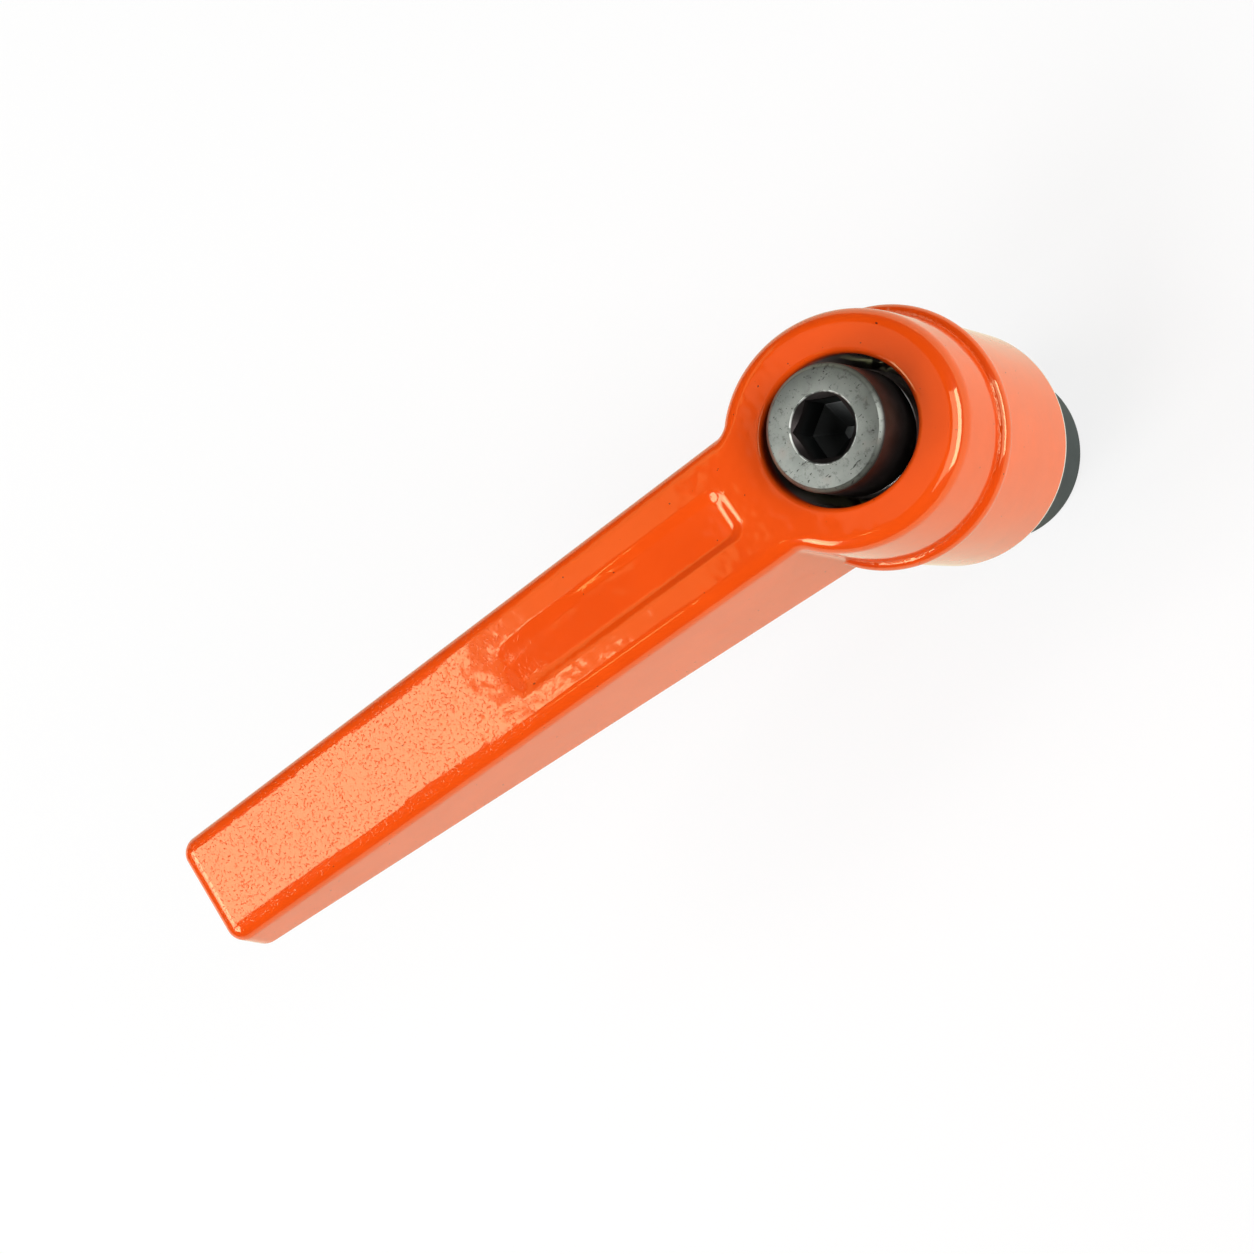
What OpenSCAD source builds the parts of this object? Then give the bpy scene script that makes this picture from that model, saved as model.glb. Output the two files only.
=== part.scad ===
// Adjustable clamping lever: a die-cast handle that is lifted off the serration of a threaded insert,
// turned to a new position and dropped back on by a spring under the retaining screw's head.
// Millimetres. Z runs up the hub axis from the insert's lower face, and the arm points along +X.

/* [Lever arm] */
// Length of the arm from the hub axis to its tip, along the top face
arm_length = 82.3; // [60:0.1:120]
// Slope of the top face along the arm, in degrees
arm_rise = 13.25; // [6:0.25:16]
// Width of the top face at the hub axis
arm_root_w = 14.8; // [12:0.1:18]
// Width of the top face at the tip
arm_tip_w = 12.5; // [9:0.1:16]
// Thickness of the arm at the hub axis, square to the top face
arm_root_t = 19.5; // [16:0.1:21]
// Thickness of the arm at the tip, square to the top face
arm_tip_t = 7.9; // [6:0.1:12]
// Draft of the arm's sides, in degrees
arm_draft = 2; // [0.5:0.25:4]
// Rounding of the arm's upper edges
arm_top_round = 1.7; // [0.8:0.1:2]
// Rounding of the arm's lower edges
arm_low_round = 1.6; // [0.8:0.1:2.4]

/* [Recess in the arm] */
// Start of the recess, from the hub axis along the top face
recess_start = 14; // [13:0.5:20]
// Length of the recess
recess_length = 27.8; // [10:0.1:36]
// Width of the recess
recess_w = 5.6; // [3:0.1:8]
// Depth of the recess at its end by the hub
recess_depth = 0.8; // [0.5:0.05:1.5]
// Depth of the recess at its end by the tip
recess_tip_depth = 0.25; // [0.2:0.05:1]
// Corner radius of the recess
recess_corner = 1.3; // [0.5:0.1:1.4]

/* [Head and hub] */
// Radius of the head under its top edge
head_r = 12.4; // [11.5:0.1:12.8]
// Radius of the head where it stands on the bead
head_low_r = 12.9; // [12.4:0.1:13.1]
// Rounding of the head's top edge
head_round = 1.8; // [1:0.1:2.6]
// Radius of the concave corners between head and arm
neck_fillet = 1.5; // [1:0.1:4]
// Height of the top face at the hub axis, above the hub's lower edge
head_h = 30.9; // [30.4:0.1:36]
// Radius of the bead round the hub
bead_r = 13.8; // [13.4:0.1:15]
// Height of the bead's upper edge above the hub's lower edge
bead_top = 20.5; // [18:0.1:22]
// Thickness of the bead
bead_t = 2.3; // [1.8:0.1:3.5]
// Radius of the hub under the bead
hub_top_r = 13; // [12.7:0.1:13.3]
// Radius of the hub at its lower edge
hub_low_r = 12.8; // [12.4:0.1:13]
// Rounding of the bead's edges
bead_round = 0.9; // [0.5:0.05:0.9]
// Chamfer at the hub's lower edges
hub_chamfer = 0.4; // [0.2:0.05:0.6]

/* [Threaded insert] */
// Radius of the insert's plain collar
collar_r = 9.5; // [9.3:0.05:10]
// Height of the collar below the hub
collar_reach = 13.8; // [4:0.1:20]
// Height of the collar inside the hub
collar_guide = 8.2; // [6.8:0.1:9]
// Chamfer at the insert's lower edge
collar_chamfer = 0.6; // [0.2:0.1:1.2]
// Core radius of the threaded hole that takes the clamping stud
stud_core_r = 5.1; // [3.4:0.05:5.2]
// Depth of the threaded hole that takes the clamping stud
stud_depth = 14; // [8:0.1:14]
// Radius of the countersink at the mouth of the threaded hole
stud_mouth_r = 6.05; // [5.5:0.05:7]

/* [Serration] */
// Number of teeth
tooth_count = 24; // [18:1:36]
// Radius at the tips of the insert's teeth
tooth_tip_r = 8.6; // [8.2:0.05:8.9]
// Radius at the roots of the insert's teeth
tooth_root_r = 7.6; // [7.2:0.05:7.9]
// Length of the insert's teeth
tooth_length = 5.5; // [4:0.1:6]

/* [Retaining screw] */
// Nominal radius of the screw's thread
screw_r = 4; // [3:0.05:4]
// Length of the screw under its head
screw_length = 25; // [22:0.5:26]
// Radius of the screw's head
screw_head_r = 6.5; // [6.2:0.05:7]
// Height of the screw's head
screw_head_h = 8; // [7:0.1:9]
// Height of the screw's face above the top face at the hub axis
screw_proud = 3.7; // [3:0.1:4.6]
// Chamfer of the screw head's upper edge
screw_chamfer = 0.5; // [0.2:0.05:0.8]
// Width across the flats of the hexagon socket
socket_af = 6; // [5:0.1:6.4]
// Depth of the hexagon socket
socket_depth = 5; // [4.6:0.1:5.6]
// Radius of the countersink round the socket
socket_mouth_r = 3.7; // [3.6:0.05:4.2]

/* [Return spring] */
// Wire diameter of the spring
wire_d = 1.1; // [0.8:0.05:1.2]
// Mean radius of the spring's coil
coil_r = 6.1; // [5.8:0.05:6.2]
// Turns that work between the closed ends
coil_turns = 3; // [2:0.25:3]
// Thickness of the web that carries the spring
web_t = 2.6; // [1.5:0.1:2.8]
// Radius of the bore that takes the screw's head and the spring
mouth_r = 7.85; // [7.4:0.05:8.2]

/* [Clearances] */
// Radial play of the collar in the hub
collar_play = 0.05; // [0.02:0.01:0.1]
// Play between the teeth, square to their flanks
tooth_play = 0.1; // [0.06:0.01:0.2]
// Room above the insert's upper face
web_play = 0.3; // [0.1:0.05:0.5]
// Radial room of the screw's shank in the web
shank_play = 0.6; // [0.3:0.05:1]
// Radial room of the screw in its tapped hole
screw_play = 0.05; // [0.02:0.01:0.1]
// Room between the spring and its seats
spring_play = 0.1; // [0.05:0.05:0.2]

/* [Hidden] */
round_fn = 96;
hull_fn = 32;
spare = 1;
neck_bite = 0.15;
neck_drop = 0.1;
coil_sides = 10;
coil_steps = 20;
drill_point = 118;
sink_angle = 120;

hub_z = collar_reach;
top_z = hub_z + head_h;
bead_z = hub_z + bead_top;
bead_low_z = bead_z - bead_t;
seat_z = hub_z + collar_guide;
insert_top = seat_z + tooth_length;
web_z = insert_top + web_play;
web_top = web_z + web_t;
screw_top = top_z + screw_proud;
head_under = screw_top - screw_head_h;
screw_end = head_under - screw_length;
guide_r = collar_r + collar_play;
tooth_pitch = 360 / tooth_count;
flank_rise = tooth_tip_r - tooth_root_r;
flank_run = tooth_root_r * sin(tooth_pitch / 2);
tooth_grow = tooth_play * sqrt(flank_rise * flank_rise + flank_run * flank_run) / flank_run;
spring_low = web_top + spring_play;
spring_high = head_under - spring_play;
wire_r = wire_d / 2;
end_pitch = wire_d + spring_play;
work_pitch = (spring_high - spring_low - wire_d - 2 * end_pitch) / coil_turns;
draft_slope = tan(arm_draft);
recess_tilt = atan((recess_depth - recess_tip_depth) / recess_length);
stud_sink = (stud_mouth_r - stud_core_r) / tan(sink_angle / 2);
neck_w = (arm_root_w + (arm_tip_w - arm_root_w) * head_r / arm_length) / 2;
neck_y = neck_w - neck_bite + neck_fillet;
neck_reach = head_r - neck_bite + neck_fillet;
neck_x = sqrt(neck_reach * neck_reach - neck_y * neck_y);
neck_t = (top_z - bead_low_z) / cos(arm_rise);
socket_r = socket_af / 2 / cos(30);
socket_tip = socket_af / 2 / tan(drill_point / 2);

// Star outline of a serration, alternating between its tip and root circles
function serration(tip, root) = [
    for (i = [0 : 2 * tooth_count - 1])
        (i % 2 == 0 ? tip : root) * [cos(i * tooth_pitch / 2), sin(i * tooth_pitch / 2)]
];

// Place children in the top face's own frame: x along the arm, z square to the face
module on_top_face() {
    translate([0, 0, top_z])
        rotate([0, -arm_rise, 0])
            children();
}

// One end of the arm as four balls that round its edges
module arm_end(along, width, thick) {
    top_y = width / 2 - arm_top_round;
    low_y = width / 2 + thick * draft_slope - arm_low_round;
    for (side = [-1, 1]) {
        translate([along - arm_top_round, side * top_y, -arm_top_round])
            sphere(r = arm_top_round, $fn = hull_fn);
        translate([along - arm_low_round, side * low_y, arm_low_round - thick])
            sphere(r = arm_low_round, $fn = hull_fn);
    }
}

module arm() {
    on_top_face()
        hull() {
            arm_end(0, arm_root_w, arm_root_t);
            arm_end(arm_length, arm_tip_w, arm_tip_t);
        }
}

// Head: a round edge in the sloping top face, drawn down to the bead
module head() {
    hull() {
        on_top_face()
            translate([0, 0, -head_round])
                rotate_extrude($fn = 2 * hull_fn)
                    translate([head_r - head_round, 0])
                        circle(r = head_round, $fn = hull_fn / 2);
        translate([0, 0, bead_low_z])
            cylinder(r = head_low_r, h = bead_t / 2, $fn = 2 * hull_fn);
    }
}

// Cutter for one concave corner, flared to round the corner's top edge
module neck_cutter() {
    rotate_extrude($fn = round_fn)
        difference() {
            translate([0, -neck_t - spare])
                square([neck_fillet + arm_top_round, neck_t + spare]);
            translate([neck_fillet, -neck_t - 2 * spare])
                square([2 * arm_top_round, neck_t + 2 * spare - arm_top_round]);
            translate([neck_fillet + arm_top_round, -arm_top_round])
                circle(r = arm_top_round, $fn = round_fn);
        }
}

// Web that fills the two corners between the head and the arm. Its arcs end a little inside both, and
// its upper face lies a little under theirs, so that the surfaces meet at clear edges.
module neck() {
    on_top_face()
        for (side = [-1, 1])
            difference() {
                translate([0, 0, -neck_t])
                    linear_extrude(height = neck_t - neck_drop)
                        polygon([
                            [0, 0],
                            [neck_x, side * neck_y] * (head_r - neck_bite) / neck_reach,
                            [neck_x, side * neck_y],
                            [neck_x, side * (neck_w - arm_top_round)]
                        ]);
                translate([neck_x, side * neck_y, 0])
                    neck_cutter();
            }
}

// Hub below the head, with draft, and the bead round it
module hub() {
    translate([0, 0, hub_z + hub_chamfer])
        cylinder(r1 = hub_low_r, r2 = hub_top_r, h = bead_low_z - hub_z - hub_chamfer, $fn = round_fn);
    translate([0, 0, hub_z])
        cylinder(r1 = hub_low_r - hub_chamfer, r2 = hub_low_r, h = hub_chamfer, $fn = round_fn);
    translate([0, 0, bead_low_z])
        rotate_extrude($fn = round_fn) {
            square([bead_r - bead_round, bead_t]);
            translate([0, bead_round])
                square([bead_r, bead_t - 2 * bead_round]);
            for (level = [bead_round, bead_t - bead_round])
                translate([bead_r - bead_round, level])
                    circle(r = bead_round, $fn = round_fn);
        }
}

// Shallow pocket in the arm's top face, with a floor that rises towards the tip
module recess() {
    on_top_face()
        translate([recess_start, -recess_w / 2, -recess_depth])
            rotate([0, -recess_tilt, 0])
                linear_extrude(height = recess_depth + spare) {
                    translate([recess_corner, 0])
                        square([recess_length - 2 * recess_corner, recess_w]);
                    translate([0, recess_corner])
                        square([recess_length, recess_w - 2 * recess_corner]);
                    for (x = [recess_corner, recess_length - recess_corner])
                        for (y = [recess_corner, recess_w - recess_corner])
                            translate([x, y])
                                circle(r = recess_corner, $fn = round_fn);
                }
}

// Stepped bore: guide for the collar, inner teeth, web and the bore round the screw's head
module handle_bore() {
    translate([0, 0, hub_z - spare])
        cylinder(r = guide_r, h = collar_guide + spare, $fn = round_fn);
    translate([0, 0, hub_z])
        cylinder(r1 = guide_r + hub_chamfer, r2 = guide_r, h = hub_chamfer, $fn = round_fn);
    translate([0, 0, seat_z])
        linear_extrude(height = web_z - seat_z)
            polygon(serration(tooth_tip_r + tooth_grow, tooth_root_r + tooth_grow));
    translate([0, 0, web_z])
        cylinder(r = screw_r + shank_play, h = web_t, $fn = round_fn);
    translate([0, 0, web_top])
        cylinder(r = mouth_r, h = top_z + head_r - web_top, $fn = round_fn);
}

module handle() {
    color("orangered")
        difference() {
            union() {
                arm();
                head();
                neck();
                hub();
            }
            handle_bore();
            recess();
        }
}

module threaded_insert() {
    color("dimgray")
        difference() {
            union() {
                cylinder(r1 = collar_r - collar_chamfer, r2 = collar_r, h = collar_chamfer, $fn = round_fn);
                translate([0, 0, collar_chamfer])
                    cylinder(r = collar_r, h = seat_z - collar_chamfer, $fn = round_fn);
                translate([0, 0, seat_z])
                    linear_extrude(height = tooth_length)
                        polygon(serration(tooth_tip_r, tooth_root_r));
            }
            translate([0, 0, -spare])
                cylinder(r = stud_core_r, h = stud_depth + spare, $fn = round_fn);
            cylinder(r1 = stud_mouth_r, r2 = stud_core_r, h = stud_sink, $fn = round_fn);
            translate([0, 0, stud_depth - spare])
                cylinder(r = screw_r + screw_play, h = insert_top - stud_depth + 2 * spare, $fn = round_fn);
        }
}

module retaining_screw() {
    color("gray")
        difference() {
            union() {
                translate([0, 0, screw_top - screw_chamfer])
                    cylinder(r1 = screw_head_r, r2 = screw_head_r - screw_chamfer, h = screw_chamfer, $fn = round_fn);
                translate([0, 0, head_under])
                    cylinder(r = screw_head_r, h = screw_head_h - screw_chamfer, $fn = round_fn);
                translate([0, 0, screw_end + screw_chamfer])
                    cylinder(r = screw_r, h = screw_length - screw_chamfer, $fn = round_fn);
                translate([0, 0, screw_end])
                    cylinder(r1 = screw_r - screw_chamfer, r2 = screw_r, h = screw_chamfer, $fn = round_fn);
            }
            translate([0, 0, screw_top - socket_depth])
                cylinder(r = socket_r, h = socket_depth + spare, $fn = 6);
            translate([0, 0, screw_top - (socket_mouth_r - socket_af / 2)])
                cylinder(r1 = socket_af / 2, r2 = socket_mouth_r, h = socket_mouth_r - socket_af / 2, $fn = round_fn);
            translate([0, 0, screw_top - socket_depth - socket_tip])
                cylinder(r1 = 0, r2 = socket_af / 2, h = socket_tip, $fn = round_fn);
        }
}

// Height of the wire's middle after a number of turns: a closed turn, the working turns, a closed turn
function coil_z(turn) =
    wire_r + end_pitch * min(turn, 1)
    + work_pitch * min(max(turn - 1, 0), coil_turns)
    + end_pitch * max(turn - 1 - coil_turns, 0);

module return_spring() {
    turns = coil_turns + 2;
    count = round(turns * coil_steps);
    points = [
        for (i = [0 : count])
            let (turn = turns * i / count, around = 360 * turn)
            for (j = [0 : coil_sides - 1])
                let (r = coil_r + wire_r * cos(360 * j / coil_sides))
                [r * cos(around), r * sin(around), spring_low + coil_z(turn) + wire_r * sin(360 * j / coil_sides)]
    ];
    faces = concat(
        [[for (j = [0 : coil_sides - 1]) j]],
        [for (i = [0 : count - 1])
            for (j = [0 : coil_sides - 1])
                let (k = (j + 1) % coil_sides, a = i * coil_sides, b = a + coil_sides)
                [a + j, b + j, b + k, a + k]],
        [[for (j = [coil_sides - 1 : -1 : 0]) count * coil_sides + j]]
    );
    color("silver")
        polyhedron(points = points, faces = faces, convexity = 10);
}

handle();
threaded_insert();
retaining_screw();
return_spring();
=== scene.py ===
"""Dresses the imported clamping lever: a smooth casting, turned steel pieces with their threads, a coiled
spring, the finish of each, and a plain pale studio. Shapes are worked out in millimetres and built in
metres."""

import math

import bpy
import numpy as np
from mathutils import Matrix, Vector


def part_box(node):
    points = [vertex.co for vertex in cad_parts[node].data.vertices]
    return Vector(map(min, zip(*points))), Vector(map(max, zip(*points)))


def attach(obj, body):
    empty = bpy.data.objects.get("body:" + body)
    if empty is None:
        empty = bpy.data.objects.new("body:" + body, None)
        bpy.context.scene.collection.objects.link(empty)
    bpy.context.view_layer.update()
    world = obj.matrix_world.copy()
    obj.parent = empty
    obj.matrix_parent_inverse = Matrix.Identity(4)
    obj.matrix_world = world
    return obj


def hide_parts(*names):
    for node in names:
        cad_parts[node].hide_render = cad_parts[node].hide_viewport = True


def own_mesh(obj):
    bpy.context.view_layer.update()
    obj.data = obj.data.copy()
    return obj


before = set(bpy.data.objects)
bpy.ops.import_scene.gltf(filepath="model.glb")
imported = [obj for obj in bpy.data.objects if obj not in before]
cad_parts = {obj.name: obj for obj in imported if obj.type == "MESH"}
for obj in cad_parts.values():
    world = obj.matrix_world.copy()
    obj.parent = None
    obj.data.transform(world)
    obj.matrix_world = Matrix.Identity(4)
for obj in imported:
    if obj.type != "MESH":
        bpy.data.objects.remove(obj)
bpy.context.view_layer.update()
MM = 0.001


def node_box(node):
    """A node's lowest and highest corner in millimetres."""
    return [np.array(corner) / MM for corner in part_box(node)]


# Sizes that the frame gives
HANDLE_LOW, HANDLE_HIGH = node_box("handle")
INSERT_HIGH = node_box("threaded_insert")[1]
SCREW_LOW, SCREW_HIGH = node_box("retaining_screw")
SPRING_LOW, SPRING_HIGH = node_box("return_spring")
HUB_Z = HANDLE_LOW[2]
BEAD_R = HANDLE_HIGH[1]
COLLAR_R = INSERT_HIGH[0]
INSERT_TOP = INSERT_HIGH[2]
SCREW_TOP = SCREW_HIGH[2]
SCREW_END = SCREW_LOW[2]
SCREW_HEAD_R = SCREW_HIGH[0]

# Lever arm
ARM_LENGTH = 82.3
ARM_RISE = math.radians(13.25)
ARM_ROOT_W = 14.8
ARM_TIP_W = 12.5
ARM_ROOT_T = 19.5
ARM_TIP_T = 7.9
ARM_DRAFT = math.radians(2.0)
ARM_TOP_ROUND = 1.7
ARM_LOW_ROUND = 1.6
TIP_CORNER = 1.9
RECESS_START = 13.85
RECESS_LENGTH = 27.95
RECESS_W = 5.1
RECESS_HUB_DEPTH = 0.6
RECESS_TIP_DEPTH = 0.1
RECESS_CORNER = 1.3
RECESS_HUB_WALL = 1.5
RECESS_TIP_WALL = 1.5
RECESS_SIDE_WALL = 1.3
RECESS_HUB_BLEND = 2.5
RECESS_TIP_BLEND = 3.0
RECESS_LEAN = math.tan(math.radians(1.9))

# Head, bead and hub
HEAD_H = 30.9
HEAD_R = 12.4
HEAD_LOW_R = 13.0
HEAD_ROUND = 1.7
NECK_FILLET = 0.6
BEAD_TOP = 20.2
BEAD_T = 2.2
BEAD_ROUND = 1.05
BEAD_FILLET = 0.12
HUB_TOP_R = 13.0
HUB_LOW_R = 12.8
HUB_EDGE = 0.4
MOUTH_R = 7.85
MOUTH_RIM = 0.6
TOP_Z = HUB_Z + HEAD_H
BEAD_Z = HUB_Z + BEAD_TOP

# Where the coat turns coarse, along the arm's top face from the height of the frame's origin
COARSE_FROM = 37.0 + TOP_Z * math.sin(ARM_RISE)
COARSE_TO = 43.0 + TOP_Z * math.sin(ARM_RISE)

# Mechanism
COLLAR_GUIDE = 8.2
COLLAR_PLAY = 0.05
TOOTH_COUNT = 24
TOOTH_TIP_R = 8.6
TOOTH_ROOT_R = 7.6
TOOTH_GROW = 0.14
WEB_PLAY = 0.3
WEB_T = 2.6
WEB_HOLE_R = 4.6
SEAT_Z = HUB_Z + COLLAR_GUIDE
WEB_Z = INSERT_TOP + WEB_PLAY
WEB_TOP = WEB_Z + WEB_T

# Threads and turned details
STUD_R = 6.0
STUD_CORE_R = 5.1
STUD_PITCH = 1.75
STUD_DEPTH = 14.0
STUD_MOUTH_R = 6.05
STUD_RUN_OUT = 0.2
SINK_ANGLE = math.radians(60)
INSERT_SOFT = 0.15
COLLAR_CHAMFER = 0.6
SCREW_R = 4.0
SCREW_PITCH = 1.25
SCREW_CORE_R = 3.25
SCREW_HEAD_H = 8.0
SCREW_CHAMFER = 0.5
SCREW_PLAY = 0.05
SCREW_LEAD = 0.3
SCREW_SHANK = 2.8
SCREW_THREAD_GAP = 3.0
SCREW_FILLET = 0.3
SCREW_SOFT = 0.07
SOCKET_AF = 6.0
SOCKET_DEPTH = 5.0
SOCKET_MOUTH_R = 3.62
SOCKET_STEP = 0.05
DRILL_ANGLE = math.radians(59)
WIRE_D = 1.1
COIL_R = 6.1
COIL_TURNS = 3.0
END_PITCH = 1.2
THREAD_SLOPE = 1.3
THREAD_FLAT = 0.1

# Fineness of the meshes. The casting is split finer where it turns sharply and can be seen.
CASTING_PITCH = 0.6
SETTLE_STEPS = 4
SPLIT_PASSES = 3
SPLIT_TURN = 8
SEEN_PAST_COLLAR = 0.3
SEEN_BELOW_TOP = 6
POINTS_PER_TOOTH = 8
SCREW_POINTS = 144
THREAD_STEPS = 10
WIRE_SIDES = 16
TURN_STEPS = 64

# Relief of the finishes, in metres as the bump node takes it
WAVE_RELIEF = 0.000034
RIPPLE_RELIEF = 0.000026
PEEL_RELIEF = 0.000004
PIT_RELIEF = 0.000019
STEEL_RELIEF = 0.00002
WIRE_RELIEF = 0.00001

# Colours of the finishes
ORANGE_DEEP = (0.85, 0.076, 0.0035)
ORANGE_LIGHT = (0.89, 0.083, 0.0045)
COAT_SPECK = (0.10, 0.02, 0.01)
BARE_BORE = (0.34, 0.28, 0.265)
# Bare metal at the hub's lower edge, painted near white as a highlight line
BARE_EDGE_HIGHLIGHT = (0.80, 0.74, 0.68)
OXIDE_DEEP = (0.030, 0.044, 0.053)
OXIDE_LIGHT = (0.040, 0.056, 0.066)
WORN_DEEP = (0.140, 0.151, 0.136)
WORN_LIGHT = (0.178, 0.189, 0.171)
WORN_GRAIN = (0.090, 0.094, 0.084)
WORN_STAIN = (0.170, 0.135, 0.115)
WORN_SCRATCH = (0.035, 0.036, 0.033)
WORN_SPECK = (0.040, 0.040, 0.036)
# Worn metal at the socket's edge, painted bright as a glint
WORN_EDGE_GLINT = (0.62, 0.64, 0.60)
SCREW_DEEP = (0.022, 0.018, 0.017)
SCREW_LIGHT = (0.040, 0.032, 0.031)
# Painted shade inside the hex socket
SOCKET_SHADE = (0.045, 0.048, 0.048)
WIRE_DEEP = (0.80, 0.80, 0.79)
WIRE_LIGHT = (0.92, 0.92, 0.91)
WHITE = (1, 1, 1)
WARM_WHITE = (1, 0.98, 0.74)

# Studio, in metres
CEILING = 0.75


def round_max(a, b, radius):
    """Intersection of two distance fields with its edge rounded."""
    corner = np.hypot(np.maximum(radius + a, 0), np.maximum(radius + b, 0))
    return np.minimum(-radius, np.maximum(a, b)) + corner


def round_min(a, b, radius):
    """Union of two distance fields with a fillet in its corner."""
    corner = np.hypot(np.maximum(radius - a, 0), np.maximum(radius - b, 0))
    return np.maximum(radius, np.minimum(a, b)) - corner


def ramp(value, start, end):
    """0 before start, 1 after end, smooth between."""
    t = np.clip((value - start) / (end - start), 0, 1)
    return t * t * (3 - 2 * t)


def top_face_frame(p):
    """Coordinates along the arm, across it, and square to the top face."""
    x, y, z = p
    up = z - TOP_Z
    along = x * math.cos(ARM_RISE) + up * math.sin(ARM_RISE)
    above = up * math.cos(ARM_RISE) - x * math.sin(ARM_RISE)
    return along, y, above


def arm_field(along, across, above):
    """The tapered arm, with draft on its sides."""
    share = along / ARM_LENGTH
    half_w = (ARM_ROOT_W + (ARM_TIP_W - ARM_ROOT_W) * share) / 2 - above * math.tan(ARM_DRAFT)
    side = (np.abs(across) - half_w) * math.cos(ARM_DRAFT)
    slope = math.atan((ARM_ROOT_T - ARM_TIP_T) / ARM_LENGTH)
    under = (-above - ARM_ROOT_T - (ARM_TIP_T - ARM_ROOT_T) * share) * math.cos(slope)
    plan = round_max(side, along - ARM_LENGTH, TIP_CORNER)
    return np.maximum(round_max(plan, under, ARM_LOW_ROUND), -along)


def hub_field(z, radius):
    """The drafted hub with the bead round it."""
    bead_low = BEAD_Z - BEAD_T
    share = (z - HUB_Z) / (bead_low - HUB_Z)
    wall = radius - HUB_LOW_R - (HUB_TOP_R - HUB_LOW_R) * share
    hub = np.maximum(round_max(wall, HUB_Z - z, HUB_EDGE), z - BEAD_Z)
    middle = BEAD_Z - BEAD_T / 2
    bead = round_max(radius - BEAD_R, np.abs(z - middle) - BEAD_T / 2, BEAD_ROUND)
    return round_min(hub, bead, BEAD_FILLET)


def recess_dip(along, across):
    """How far the shallow pocket lowers the arm's top face. Its walls are soft, and its floor rises towards
    the tip and leans to one side."""
    dx = np.abs(along - RECESS_START - RECESS_LENGTH / 2) - RECESS_LENGTH / 2 + RECESS_CORNER
    dy = np.abs(across) - RECESS_W / 2 + RECESS_CORNER
    outline = np.hypot(np.maximum(dx, 0), np.maximum(dy, 0))
    outline = outline + np.minimum(np.maximum(dx, dy), 0) - RECESS_CORNER
    share = (along - RECESS_START) / RECESS_LENGTH
    depth = RECESS_HUB_DEPTH + (RECESS_TIP_DEPTH - RECESS_HUB_DEPTH) * share + RECESS_LEAN * across
    end = RECESS_START + RECESS_LENGTH
    near_hub = ramp(along, RECESS_START + RECESS_HUB_BLEND, RECESS_START)
    near_tip = ramp(along, end - RECESS_TIP_BLEND, end)
    wall = RECESS_SIDE_WALL + (RECESS_HUB_WALL - RECESS_SIDE_WALL) * near_hub
    wall = wall + (RECESS_TIP_WALL - RECESS_SIDE_WALL) * near_tip
    return depth * ramp(outline / wall, 0.5, -0.5)


def tooth_radius(angle, grow):
    """Radius of the serration at an angle: straight flanks between tip and root."""
    phase = np.abs((angle * TOOTH_COUNT / math.tau) % 1 - 0.5) * 2
    return TOOTH_ROOT_R + grow + (TOOTH_TIP_R - TOOTH_ROOT_R) * phase


def bore_field(p, radius):
    """Everything that is bored out of the casting."""
    x, y, z = p
    mouth = np.maximum(radius - MOUTH_R, WEB_TOP - z)
    guide = np.maximum(radius - COLLAR_R - COLLAR_PLAY, z - SEAT_Z)
    teeth = np.maximum((radius - tooth_radius(np.arctan2(y, x), TOOTH_GROW)) * math.sqrt(0.5), z - WEB_Z)
    return np.minimum(np.minimum(mouth, guide), np.minimum(teeth, radius - WEB_HOLE_R))


def handle_field(p):
    """Distance field of the whole casting, negative inside."""
    x, y, z = p
    radius = np.hypot(x, y)
    along, across, above = top_face_frame(p)
    arm = arm_field(along, across, above)
    foot = BEAD_Z - BEAD_T / 2
    head_r = HEAD_LOW_R + (HEAD_R - HEAD_LOW_R) * (z - foot) / (TOP_Z - foot)
    head = np.maximum(radius - head_r, foot - z)
    body = round_min(arm, head, NECK_FILLET)
    edge = HEAD_ROUND + (ARM_TOP_ROUND - HEAD_ROUND) * ramp(along, HEAD_R / 2, 1.5 * HEAD_R)
    body = round_max(body, above + recess_dip(along, across), edge)
    body = round_min(body, hub_field(z, radius), BEAD_FILLET)
    return round_max(body, -bore_field(p, radius), MOUTH_RIM)


def field_slope(field, p, step=1e-3):
    """Gradient of a field by central differences."""
    rows = []
    for axis in range(3):
        shift = np.zeros((3, 1))
        shift[axis] = step
        rows.append((field(p + shift) - field(p - shift)) / (2 * step))
    return np.array(rows)


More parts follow.
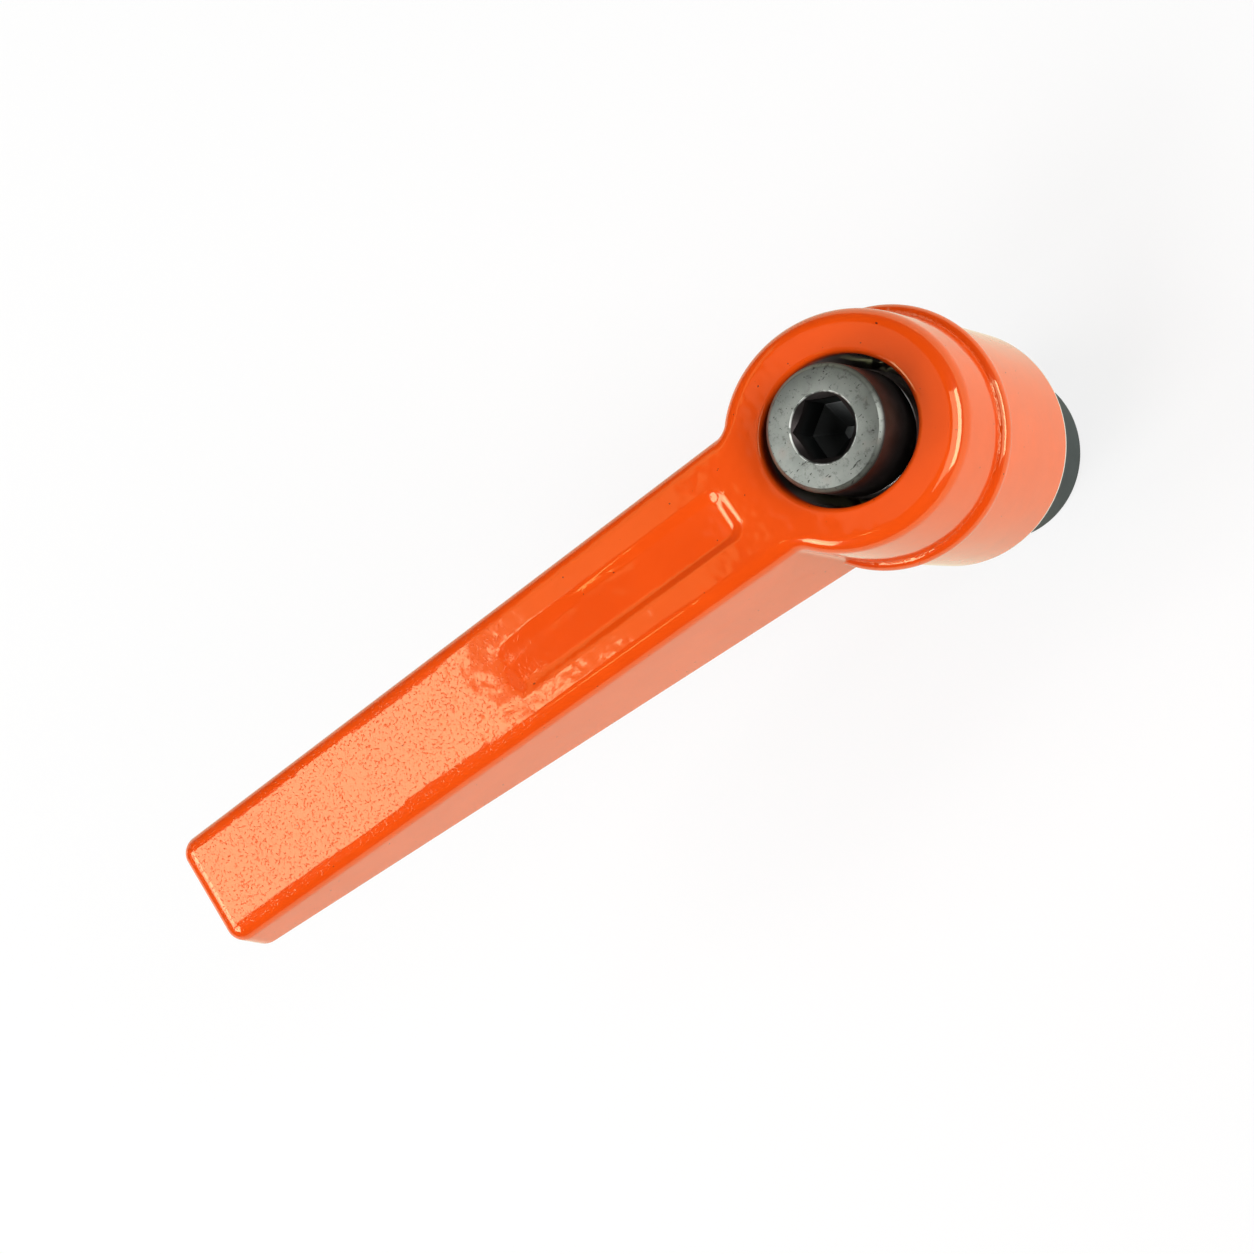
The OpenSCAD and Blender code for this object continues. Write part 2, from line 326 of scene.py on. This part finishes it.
def field_surface(field, low, high, pitch):
    """Points and triangles of a field's zero surface: one point per crossed cell, drawn onto the surface."""
    axes = [np.arange(a - 2 * pitch, b + 3 * pitch, pitch) for a, b in zip(low, high)]
    grid = np.array(np.meshgrid(*axes, indexing="ij"))
    shape = grid.shape[1:]
    value = field(grid.reshape(3, -1)).reshape(shape)
    inside = value < 0
    cells = tuple(n - 1 for n in shape)
    total = np.zeros((3,) + cells)
    hits = np.zeros(cells)
    for axis in range(3):
        others = [a for a in range(3) if a != axis]
        for first in (0, 1):
            for second in (0, 1):
                start = [slice(0, n) for n in cells]
                start[others[0]] = slice(first, first + cells[others[0]])
                start[others[1]] = slice(second, second + cells[others[1]])
                stop = list(start)
                stop[axis] = slice(1, cells[axis] + 1)
                a, b = value[tuple(start)], value[tuple(stop)]
                crossed = (a < 0) != (b < 0)
                t = np.where(crossed, a / np.where(crossed, a - b, 1), 0)
                for k in range(3):
                    place = grid[k][tuple(start)] + (t * pitch if k == axis else 0)
                    total[k] += np.where(crossed, place, 0)
                hits += crossed
    used = hits > 0
    number = np.full(cells, -1)
    number[used] = np.arange(used.sum())
    points = total[:, used] / hits[used]

    quads = []
    for axis in range(3):
        one, two = [a for a in range(3) if a != axis]
        if axis == 1:
            one, two = two, one
        core = [slice(1, n) for n in cells]
        core[axis] = slice(0, cells[axis])
        ahead = list(core)
        ahead[axis] = slice(1, cells[axis] + 1)
        a, b = inside[tuple(core)], inside[tuple(ahead)]
        corner = []
        for d1, d2 in ((1, 1), (0, 1), (0, 0), (1, 0)):
            pick = list(core)
            pick[one] = slice(1 - d1, cells[one] - d1)
            pick[two] = slice(1 - d2, cells[two] - d2)
            corner.append(number[tuple(pick)])
        ring = np.stack(corner, axis=-1)
        quads.append(ring[a & ~b])
        quads.append(ring[b & ~a][:, ::-1])
    quads = np.concatenate(quads)

    return settle(field, points), np.concatenate([quads[:, :3], quads[:, [0, 2, 3]]])


def settle(field, points):
    """Draws points onto a field's zero surface."""
    for _ in range(SETTLE_STEPS):
        slope = field_slope(field, points)
        points = points - field(points) * slope / np.maximum((slope ** 2).sum(0), 1e-6)
    return points


def field_normals(field, points):
    """Unit normals of a field at points."""
    slope = field_slope(field, points)
    return slope / np.maximum(np.linalg.norm(slope, axis=0), 1e-9)


# Ways to split a triangle, by which of its sides 0-1, 1-2 and 2-0 carry a new point (numbered 3, 4 and 5)
SPLITS = {
    0: ((0, 1, 2),),
    1: ((0, 3, 2), (3, 1, 2)),
    2: ((0, 1, 4), (0, 4, 2)),
    3: ((3, 1, 4), (0, 3, 4), (0, 4, 2)),
    4: ((0, 1, 5), (1, 2, 5)),
    5: ((0, 3, 5), (3, 1, 2), (3, 2, 5)),
    6: ((0, 1, 4), (0, 4, 5), (5, 4, 2)),
    7: ((0, 3, 5), (3, 1, 4), (5, 4, 2), (3, 4, 5)),
}


def refine(field, points, faces, limit, visible):
    """Splits every visible edge over which the surface turns by more than a limit in degrees."""
    normals = field_normals(field, points)
    sides = np.sort(np.concatenate([faces[:, [0, 1]], faces[:, [1, 2]], faces[:, [2, 0]]]), axis=1)
    edges, which = np.unique(sides, axis=0, return_inverse=True)
    which = which.reshape(3, -1)
    first, second = edges.T
    middle = (points[:, first] + points[:, second]) / 2
    turn = (normals[:, first] * normals[:, second]).sum(0)
    marked = (turn < math.cos(math.radians(limit))) & visible(middle)
    number = np.full(len(edges), -1)
    number[marked] = points.shape[1] + np.arange(marked.sum())
    points = np.concatenate([points, settle(field, middle[:, marked])], axis=1)
    corners = np.concatenate([faces.T, number[which]])
    code = (marked[which] * np.array([[1], [2], [4]])).sum(0)
    out = [corners[list(split)][:, code == c].T for c, splits in SPLITS.items() for split in splits]
    return points, np.concatenate(out)


def mesh_object(name, points, faces, normals=None, sharp=None):
    """A smooth-shaded object from points in millimetres."""
    mesh = bpy.data.meshes.new(name)
    mesh.from_pydata((np.asarray(points) * MM).tolist(), [], [list(map(int, face)) for face in faces])
    mesh.update()
    mesh.shade_smooth()
    if normals is not None:
        mesh.normals_split_custom_set_from_vertices(normals.tolist())
    if sharp is not None:
        mesh.set_sharp_from_angle(angle=math.radians(sharp))
    thing = bpy.data.objects.new(name, mesh)
    bpy.context.scene.collection.objects.link(thing)
    return thing


def angles(count):
    """Evenly spaced angles of a full turn."""
    return np.arange(count) * math.tau / count


def polar_loft(rings, closed):
    """Points and faces of a surface through rings of (radius, height). Each of these is a number or an array
    over the angles. Without closed, the first and last ring are drawn together to a point on the axis."""
    count = max(np.size(part) for ring in rings for part in ring)
    angle = angles(count)
    points = []
    for radius, height in rings:
        radius = np.broadcast_to(radius, count)
        height = np.broadcast_to(height, count)
        points += list(zip(radius * np.cos(angle), radius * np.sin(angle), height))
    faces = []
    last = len(rings) if closed else len(rings) - 1
    for r in range(last):
        a, b = r * count, (r + 1) % len(rings) * count
        faces += [(a + i, a + (i + 1) % count, b + (i + 1) % count, b + i) for i in range(count)]
    if not closed:
        for r, turn in ((0, -1), (len(rings) - 1, 1)):
            middle = len(points)
            points.append((0, 0, float(np.mean(rings[r][1]))))
            ring = [r * count + i for i in range(count)]
            faces += [(ring[i], ring[(i + 1) % count], middle)[::turn] for i in range(count)]
    return points, faces


def thread_rings(count, start, end, pitch, core_r, crest_r):
    """Rings of a right-hand thread between two heights, which may run up or down."""
    rows = int(abs(end - start) / pitch * THREAD_STEPS)
    out = []
    for height in np.linspace(start, end, rows + 1):
        phase = (height / pitch - angles(count) / math.tau) % 1
        wave = np.clip(THREAD_SLOPE * np.abs(2 * phase - 1) - THREAD_FLAT, 0, 1)
        fade = min(1, abs(height - start) / pitch, abs(height - end) / pitch)
        out.append((core_r + (crest_r - core_r) * wave * fade, height))
    return out


def build_handle():
    """The casting, with finer triangles wherever its outside turns sharply."""
    def outside(p):
        return (np.hypot(p[0], p[1]) > COLLAR_R + SEEN_PAST_COLLAR) | (p[2] > TOP_Z - SEEN_BELOW_TOP)

    points, faces = field_surface(handle_field, HANDLE_LOW, HANDLE_HIGH, CASTING_PITCH)
    for _ in range(SPLIT_PASSES):
        points, faces = refine(handle_field, points, faces, SPLIT_TURN, outside)
    normals = field_normals(handle_field, points)
    thing = mesh_object("casting", points.T, faces, normals=normals.T)
    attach(thing, "handle")
    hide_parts("handle")
    return thing


def build_insert():
    """The turned insert: collar, serration, the screw's hole, and the stud's thread from below."""
    count = TOOTH_COUNT * POINTS_PER_TOOTH
    teeth = tooth_radius(angles(count), 0)
    soft = INSERT_SOFT
    sink = (STUD_MOUTH_R - STUD_CORE_R) / math.tan(SINK_ANGLE)
    rings = [
        (STUD_MOUTH_R, 0),
        (COLLAR_R - COLLAR_CHAMFER, 0),
        (COLLAR_R - soft, COLLAR_CHAMFER - soft),
        (COLLAR_R, COLLAR_CHAMFER + soft),
        (COLLAR_R, SEAT_Z - soft),
        (COLLAR_R - soft, SEAT_Z),
        (teeth, SEAT_Z),
        (teeth, INSERT_TOP - 2 * soft),
        (teeth - 2 * soft, INSERT_TOP),
        (SCREW_R + SCREW_PLAY, INSERT_TOP),
        (SCREW_R + SCREW_PLAY, STUD_DEPTH),
        (STUD_CORE_R, STUD_DEPTH),
    ]
    rings += thread_rings(count, STUD_DEPTH - STUD_RUN_OUT, sink, STUD_PITCH, STUD_CORE_R, STUD_R)
    points, faces = polar_loft(rings, closed=True)
    thing = mesh_object("blackened_insert", points, faces, sharp=28)
    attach(thing, "insert")
    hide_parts("threaded_insert")
    return thing


def build_screw():
    """The socket head cap screw. Its ends close through a small ring at a share of their radius."""
    end_ring, floor_ring, point_ring = 0.3, 0.96, 0.2
    count = SCREW_POINTS
    angle = angles(count)
    hexagon = SOCKET_AF / 2 / np.cos((angle + math.pi / 6) % (math.pi / 3) - math.pi / 6)
    under = SCREW_TOP - SCREW_HEAD_H
    soft = SCREW_SOFT
    floor = SCREW_TOP - SOCKET_DEPTH
    thread_low, thread_high = SCREW_END + SCREW_LEAD, under - SCREW_THREAD_GAP
    rings = [(end_ring * SCREW_R, SCREW_END), (SCREW_CORE_R, SCREW_END)]
    rings += thread_rings(count, thread_low, thread_high, SCREW_PITCH, SCREW_CORE_R, SCREW_R)
    rings += [
        (SCREW_R, under - SCREW_SHANK),
        (SCREW_R, under - SCREW_FILLET),
        (SCREW_R + SCREW_FILLET, under),
        (SCREW_HEAD_R - soft, under),
        (SCREW_HEAD_R, under + soft),
        (SCREW_HEAD_R, SCREW_TOP - SCREW_CHAMFER - soft),
        (SCREW_HEAD_R - soft, SCREW_TOP - SCREW_CHAMFER + soft),
        (SCREW_HEAD_R - SCREW_CHAMFER + soft / 2, SCREW_TOP - soft / 2),
        (SCREW_HEAD_R - SCREW_CHAMFER - soft, SCREW_TOP),
        (SOCKET_MOUTH_R + soft, SCREW_TOP),
        (SOCKET_MOUTH_R - soft / 2, SCREW_TOP - soft),
        (hexagon, SCREW_TOP - (SOCKET_MOUTH_R - hexagon)),
        (hexagon, floor),
        (floor_ring * hexagon, floor - SOCKET_STEP),
        (point_ring * hexagon, floor - SOCKET_AF / 2 / math.tan(DRILL_ANGLE)),
    ]
    points, faces = polar_loft(rings, closed=False)
    thing = mesh_object("cap_screw", points, faces, sharp=25)
    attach(thing, "insert")
    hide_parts("retaining_screw")
    return thing


def build_spring():
    """Round wire along a helix with a closed turn at each end."""
    sides = WIRE_SIDES
    turns = COIL_TURNS + 2
    rise = SPRING_HIGH[2] - SPRING_LOW[2] - WIRE_D - 2 * END_PITCH
    count = int(turns * TURN_STEPS)
    points, faces = [], []
    for i in range(count + 1):
        turn = turns * i / count
        height = SPRING_LOW[2] + WIRE_D / 2 + END_PITCH * min(turn, 1)
        height += rise / COIL_TURNS * min(max(turn - 1, 0), COIL_TURNS)
        height += END_PITCH * max(turn - 1 - COIL_TURNS, 0)
        for j in range(sides):
            part = math.tau * j / sides
            radius = COIL_R + WIRE_D / 2 * math.cos(part)
            around = math.tau * turn
            level = height + WIRE_D / 2 * math.sin(part)
            points.append((radius * math.cos(around), radius * math.sin(around), level))
    for i in range(count):
        a, b = i * sides, (i + 1) * sides
        faces += [(a + j, b + j, b + (j + 1) % sides, a + (j + 1) % sides) for j in range(sides)]
    faces.append(tuple(range(sides)))
    faces.append(tuple(count * sides + j for j in reversed(range(sides))))
    thing = mesh_object("coil_spring", points, faces, sharp=50)
    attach(thing, "spring")
    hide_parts("return_spring")
    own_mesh(thing)
    return thing


class Nodes:
    """Short calls for a material's node tree."""

    def __init__(self, name):
        self.material = bpy.data.materials.new(name)
        self.material.use_nodes = True
        self.tree = self.material.node_tree
        self.shader = self.tree.nodes["Principled BSDF"]

    def add(self, kind, **values):
        node = self.tree.nodes.new("ShaderNode" + kind)
        for key, value in values.items():
            if hasattr(node, key):
                setattr(node, key, value)
            else:
                node.inputs[key.replace("_", " ")].default_value = value
        return node

    def link(self, out, into):
        self.tree.links.new(out, into)

    def place(self):
        """Object coordinates in millimetres."""
        coords = self.add("TexCoord")
        scaled = self.add("VectorMath", operation="SCALE")
        scaled.inputs["Scale"].default_value = 1 / MM
        self.link(coords.outputs["Object"], scaled.inputs[0])
        return scaled.outputs[0]

    def reach(self, place):
        """Distance from the hub axis."""
        level = self.add("VectorMath", operation="MULTIPLY")
        self.link(place, level.inputs[0])
        level.inputs[1].default_value = (1, 1, 0)
        length = self.add("VectorMath", operation="LENGTH")
        self.link(level.outputs[0], length.inputs[0])
        return length.outputs["Value"]

    def along(self, place, direction):
        """Distance along a direction."""
        node = self.add("VectorMath", operation="DOT_PRODUCT")
        self.link(place, node.inputs[0])
        node.inputs[1].default_value = direction
        return node.outputs["Value"]

    def product(self, first, second):
        node = self.add("Math", operation="MULTIPLY")
        self.link(first, node.inputs[0])
        self.link(second, node.inputs[1])
        return node.outputs[0]

    def noise(self, place, scale, detail=2.0, roughness=0.5):
        node = self.add("TexNoise", Scale=scale, Detail=detail, Roughness=roughness)
        self.link(place, node.inputs["Vector"])
        return node.outputs["Fac"]

    def stretch(self, value, low, high, out_low=0.0, out_high=1.0):
        node = self.add("MapRange", interpolation_type="SMOOTHSTEP")
        for key, number in (("From Min", low), ("From Max", high), ("To Min", out_low), ("To Max", out_high)):
            node.inputs[key].default_value = number
        self.link(value, node.inputs["Value"])
        return node.outputs["Result"]

    def mix(self, share, first, second):
        node = self.add("Mix", data_type="RGBA")
        self.link(share, node.inputs["Factor"])
        for socket, value in ((node.inputs[6], first), (node.inputs[7], second)):
            if isinstance(value, tuple):
                socket.default_value = value + (1,)
            else:
                self.link(value, socket)
        return node.outputs[2]

    def bump(self, height, strength, distance, under=None):
        node = self.add("Bump", Strength=strength, Distance=distance)
        self.link(height, node.inputs["Height"])
        if under is not None:
            self.link(under, node.inputs["Normal"])
        return node.outputs["Normal"]


def coat_material():
    """Glossy orange powder coat: waves, orange peel, a few specks, and pits on the outer arm. The bore is
    bare metal, and the hub's machined lower edge is bare metal with a painted highlight, a near-white band."""
    n = Nodes("orange_powder_coat")
    place = n.place()
    mottle = n.stretch(n.noise(place, 0.12, 3), 0.35, 0.65)
    orange = n.mix(mottle, ORANGE_DEEP, ORANGE_LIGHT)
    dust = n.stretch(n.noise(place, 2.2, 1), 0.785, 0.81)
    orange = n.mix(dust, orange, COAT_SPECK)
    in_bore = n.stretch(n.reach(place), COLLAR_R + 0.2, COLLAR_R)
    square_to_top = (-math.sin(ARM_RISE), 0, math.cos(ARM_RISE))
    top = TOP_Z * math.cos(ARM_RISE)
    height = n.along(place, square_to_top)
    bare = n.product(in_bore, n.stretch(height, top - 0.5, top - 2.0))
    orange = n.mix(bare, orange, BARE_BORE)
    # Painted highlight: a thin near-white band round the hub's lower edge, bare metal shown as a bright line
    edge_highlight_band = n.stretch(n.along(place, (0, 0, 1)), HUB_Z + 0.60, HUB_Z + 0.52)
    n.link(n.mix(edge_highlight_band, orange, BARE_EDGE_HIGHLIGHT), n.shader.inputs["Base Color"])
    wave = n.bump(n.noise(place, 0.26, 2), 1.0, WAVE_RELIEF)
    ripple = n.bump(n.noise(place, 0.5, 1), 1.0, RIPPLE_RELIEF, under=wave)
    peel = n.bump(n.noise(place, 1.4, 2), 1.0, PEEL_RELIEF, under=ripple)
    out_along_arm = n.along(place, (math.cos(ARM_RISE), 0, math.sin(ARM_RISE)))
    outer_arm = n.stretch(out_along_arm, COARSE_FROM, COARSE_TO)
    on_top = n.stretch(height, top - 0.4, top - 0.2)
    spots = n.stretch(n.noise(place, 3.8, 2), 0.57, 0.70)
    grain = n.product(spots, n.product(outer_arm, on_top))
    pits = n.bump(grain, 1.0, PIT_RELIEF, under=peel)
    n.link(pits, n.shader.inputs["Normal"])
    n.shader.inputs["Roughness"].default_value = 0.06
    n.shader.inputs["IOR"].default_value = 1.7
    n.shader.inputs["Specular Tint"].default_value = (1.0, 1.0, 0.55, 1)
    n.shader.inputs["Coat Weight"].default_value = 0.15
    n.shader.inputs["Coat Roughness"].default_value = 0.3
    return n.material


def insert_material():
    """Black oxide on turned steel."""
    n = Nodes("black_oxide_turned")
    place = n.place()
    cloud = n.stretch(n.noise(place, 0.4, 4), 0.3, 0.7)
    n.link(n.mix(cloud, OXIDE_DEEP, OXIDE_LIGHT), n.shader.inputs["Base Color"])
    n.link(n.bump(n.noise(place, 3.0, 3), 0.3, STEEL_RELIEF), n.shader.inputs["Normal"])
    n.shader.inputs["Roughness"].default_value = 0.5
    n.shader.inputs["Specular IOR Level"].default_value = 0.1
    return n.material


def screw_material():
    """Black oxide, with the end face worn to grey, scratched and specked, and a painted glint on the worn
    socket edge.
    """
    n = Nodes("black_oxide_worn")
    place = n.place()
    geometry = n.add("NewGeometry")
    facing = n.add("SeparateXYZ")
    n.link(geometry.outputs["Normal"], facing.inputs[0])
    faces_up = n.stretch(facing.outputs["Z"], 0.55, 0.66)
    reach = n.reach(place)
    on_face = n.product(faces_up, n.stretch(reach, SOCKET_MOUTH_R - 0.1, SOCKET_MOUTH_R))
    cloud = n.stretch(n.noise(place, 0.5, 4), 0.3, 0.7)
    grey = n.mix(cloud, WORN_DEEP, WORN_LIGHT)
    grain = n.stretch(n.noise(place, 1.6, 5, 0.7), 0.52, 0.68)
    grey = n.mix(grain, grey, WORN_GRAIN)
    stain = n.stretch(n.noise(place, 0.33, 2), 0.60, 0.75, 0.0, 0.5)
    grey = n.mix(stain, grey, WORN_STAIN)
    scratch = n.add("VectorMath", operation="MULTIPLY")
    n.link(place, scratch.inputs[0])
    scratch.inputs[1].default_value = (0.9, 4.0, 1.0)
    marks = n.stretch(n.noise(scratch.outputs[0], 0.9, 2), 0.69, 0.73)
    grey = n.mix(marks, grey, WORN_SCRATCH)
    speck = n.stretch(n.noise(place, 2.6, 2), 0.67, 0.71)
    grey = n.mix(speck, grey, WORN_SPECK)
    # Painted glint: patchy bright arcs just outside the socket's mouth, on worn metal
    mouth_glint_ring = n.stretch(reach, SOCKET_MOUTH_R + 0.14, SOCKET_MOUTH_R + 0.06)
    patchy_glint = n.stretch(n.noise(place, 0.7, 2), 0.46, 0.56)
    grey = n.mix(n.product(mouth_glint_ring, patchy_glint), grey, WORN_EDGE_GLINT)
    dark = n.mix(cloud, SCREW_DEEP, SCREW_LIGHT)
    # Painted shade: further down inside the hex socket the oxide turns a flat dark grey
    shade_depth = n.stretch(n.along(place, (0, 0, 1)), SCREW_TOP - 0.9, SCREW_TOP - 2.5)
    socket_shade = n.product(shade_depth, n.stretch(reach, 4.2, 3.8))
    dark = n.mix(socket_shade, dark, SOCKET_SHADE)
    n.link(n.mix(on_face, dark, grey), n.shader.inputs["Base Color"])
    n.link(n.bump(n.noise(place, 4.0, 3), 0.4, STEEL_RELIEF), n.shader.inputs["Normal"])
    n.shader.inputs["Metallic"].default_value = 0.75
    n.shader.inputs["Roughness"].default_value = 0.42
    return n.material


def spring_material():
    """Drawn spring wire with a film of oil."""
    n = Nodes("spring_wire")
    place = n.place()
    cloud = n.stretch(n.noise(place, 1.5, 3), 0.3, 0.7)
    n.link(n.mix(cloud, WIRE_DEEP, WIRE_LIGHT), n.shader.inputs["Base Color"])
    n.link(n.bump(n.noise(place, 6.0, 2), 0.3, WIRE_RELIEF), n.shader.inputs["Normal"])
    n.shader.inputs["Metallic"].default_value = 1.0
    n.shader.inputs["Roughness"].default_value = 0.2
    return n.material


def build_floor():
    """A wide pale floor that the camera sees as white, with the object's shadow left in it."""
    size, level = 3000.0, -0.05
    corners = [(-size, -size, level), (size, -size, level), (size, size, level), (-size, size, level)]
    floor = mesh_object("floor", corners, [(0, 1, 2, 3)])
    n = Nodes("pale_floor")
    n.shader.inputs["Base Color"].default_value = (0.9, 0.9, 0.9, 1)
    n.shader.inputs["Roughness"].default_value = 0.9
    n.shader.inputs["Specular IOR Level"].default_value = 0.0
    glow = n.add("Emission", Strength=1.0)
    ray = n.add("LightPath")
    seen = n.add("Math", operation="MAXIMUM")
    n.link(ray.outputs["Is Camera Ray"], seen.inputs[0])
    n.link(ray.outputs["Is Glossy Ray"], seen.inputs[1])
    n.link(n.mix(ray.outputs["Is Glossy Ray"], WHITE, WARM_WHITE), glow.inputs["Color"])
    share = n.add("Math", operation="MULTIPLY")
    n.link(seen.outputs[0], share.inputs[0])
    share.inputs[1].default_value = 0.8
    blend = n.add("MixShader")
    n.link(share.outputs[0], blend.inputs[0])
    n.link(n.shader.outputs[0], blend.inputs[1])
    n.link(glow.outputs[0], blend.inputs[2])
    n.link(blend.outputs[0], n.tree.nodes["Material Output"].inputs["Surface"])
    floor.data.materials.append(n.material)


def build_world():
    """Pale surroundings with a darker ceiling, which the camera sees as white."""
    world = bpy.data.worlds.new("studio")
    bpy.context.scene.world = world
    world.use_nodes = True
    tree = world.node_tree
    coords = tree.nodes.new("ShaderNodeTexCoord")
    split = tree.nodes.new("ShaderNodeSeparateXYZ")
    tree.links.new(coords.outputs["Generated"], split.inputs[0])
    shade = tree.nodes.new("ShaderNodeMapRange")
    shade.inputs["From Min"].default_value = 0.05
    shade.inputs["From Max"].default_value = 0.45
    shade.inputs["To Min"].default_value = 1.55
    shade.inputs["To Max"].default_value = 0.22
    tree.links.new(split.outputs["Z"], shade.inputs["Value"])
    tree.links.new(shade.outputs["Result"], tree.nodes["Background"].inputs["Strength"])
    white = tree.nodes.new("ShaderNodeBackground")
    white.inputs["Color"].default_value = (1, 1, 1, 1)
    ray = tree.nodes.new("ShaderNodeLightPath")
    blend = tree.nodes.new("ShaderNodeMixShader")
    tree.links.new(ray.outputs["Is Camera Ray"], blend.inputs[0])
    tree.links.new(tree.nodes["Background"].outputs[0], blend.inputs[1])
    tree.links.new(white.outputs[0], blend.inputs[2])
    tree.links.new(blend.outputs[0], tree.nodes["World Output"].inputs["Surface"])


def softbox(name, place, target, size, power, colour=WHITE):
    """A rectangular area light at a place in metres, facing a target."""
    data = bpy.data.lights.new(name, "AREA")
    data.shape = "RECTANGLE"
    data.size, data.size_y = size
    data.energy = power
    data.color = colour
    lamp = bpy.data.objects.new(name, data)
    aim = Vector(target) - Vector(place)
    lamp.matrix_world = Matrix.Translation(place) @ aim.to_track_quat("-Z", "Y").to_matrix().to_4x4()
    bpy.context.scene.collection.objects.link(lamp)


def ceiling_lamp(name, spot, size, power, colour=WHITE, level=CEILING):
    """An area light that hangs over a spot and faces straight down."""
    softbox(name, spot + (level,), spot + (0,), size, power, colour)


def build_lamps():
    """Soft lamps. The ceiling's lie where the camera meets them by way of the casting's gloss, and those that
    overlap others hang at a level of their own."""
    ceiling_lamp("overhead", (0.150, -0.2175), (0.22, 0.105), 0.326)
    ceiling_lamp("wing", (0.021, -0.198), (0.0385, 0.0205), 0.0111)
    ceiling_lamp("panel", (-0.003, -0.795), (0.106, 1.21), 0.244, colour=(1, 1, 0.55), level=0.76)
    ceiling_lamp("glint", (-0.005, 0.10), (0.05, 0.05), 0.035, colour=(1, 0.95, 0.5))
    ceiling_lamp("beside", (-0.23, -0.22), (0.28, 0.44), 0.13)
    ceiling_lamp("beyond", (0.53, -0.22), (0.52, 0.44), 3.6)
    ceiling_lamp("streak", (0.41, -0.25), (0.28, 0.12), 0.30, level=0.74)
    softbox("right", (0.62, 0.32, 0.72), (0.02, 0, 0.04), (0.46, 0.32), 3.2)
    softbox("left", (-0.86, 0.37, 0.36), (0, 0, 0.03), (0.80, 0.30), 6.1)
    softbox("upper_left", (-0.72, 0.30, 0.72), (0, 0, 0.03), (0.80, 0.42), 2.2)
    ceiling_lamp("zenith", (0.38, 0.21), (0.30, 0.24), 1.3)


def build_camera():
    """The photograph's viewpoint: place, heading, downward angle and roll."""
    place = Vector((-86.57, 92.62, 318.23)) * MM
    heading, down, roll = math.radians(127.81), math.radians(61.45), math.radians(-88.92)
    focal_px, image_px, sensor = 3000.0, 1254.0, 36.0
    ahead = Vector((math.sin(heading) * math.cos(down), math.cos(heading) * math.cos(down), -math.sin(down)))
    level = ahead.cross(Vector((0, 0, 1))).normalized()
    above = level.cross(ahead)
    right = level * math.cos(roll) + above * math.sin(roll)
    top = right.cross(ahead)
    data = bpy.data.cameras.new("photo_camera")
    data.sensor_width = sensor
    data.lens = focal_px * sensor / image_px
    data.clip_start = 0.01
    camera = bpy.data.objects.new("photo_camera", data)
    camera.matrix_world = Matrix.Translation(place) @ Matrix((right, top, -ahead)).transposed().to_4x4()
    bpy.context.scene.collection.objects.link(camera)
    bpy.context.scene.camera = camera


build_camera()
build_handle().data.materials.append(coat_material())
build_insert().data.materials.append(insert_material())
build_screw().data.materials.append(screw_material())
build_spring().data.materials.append(spring_material())
build_floor()
build_world()
build_lamps()
bpy.context.scene.view_settings.view_transform = "Standard"
